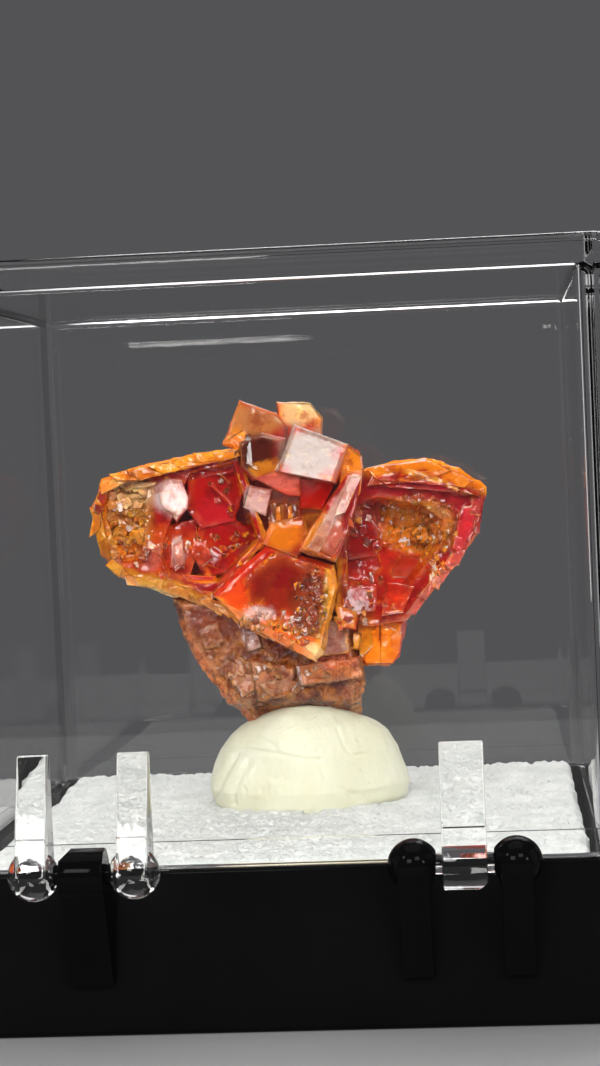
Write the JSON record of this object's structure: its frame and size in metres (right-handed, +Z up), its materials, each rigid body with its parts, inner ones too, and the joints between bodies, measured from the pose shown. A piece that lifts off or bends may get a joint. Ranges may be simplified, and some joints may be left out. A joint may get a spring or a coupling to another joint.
{
  "type": "vanadinite on matrix in a hinged thumbnail box",
  "caption": "Red-orange vanadinite crystals on a brown matrix stem, set in putty on white foam in a small black box with a clear hinged lid.",
  "frame": {"origin": "centre of the base's underside", "axes": "+Z up, the hinged side of the box faces -Y, +X to the right seen from the hinged side"},
  "size_m": [0.0318, 0.0343, 0.0349],
  "materials": {
    "black_plastic": "glossy black moulded polystyrene",
    "white_foam": "matt white crinkled foam",
    "cream_putty": "soft cream mounting putty, satin",
    "brown_matrix": "brown mottled rock with pale patches",
    "red_crystal": "adamantine translucent red to orange crystal",
    "clear_plastic": "clear moulded polystyrene"
  },
  "bodies": {
    "case": {"base": "black_plastic", "foam_pad": "white_foam", "putty": "cream_putty", "matrix": "brown_matrix", "vanadinite": "red_crystal"},
    "cover": {"lid": "clear_plastic"}
  },
  "joints": [
    {"name": "lid_hinge", "type": "hinge", "parent": "case", "child": "cover", "pos_m": [0, -0.01723, 0.0076], "axis": [1, 0, 0], "range_deg": [0, 195]}
  ]
}
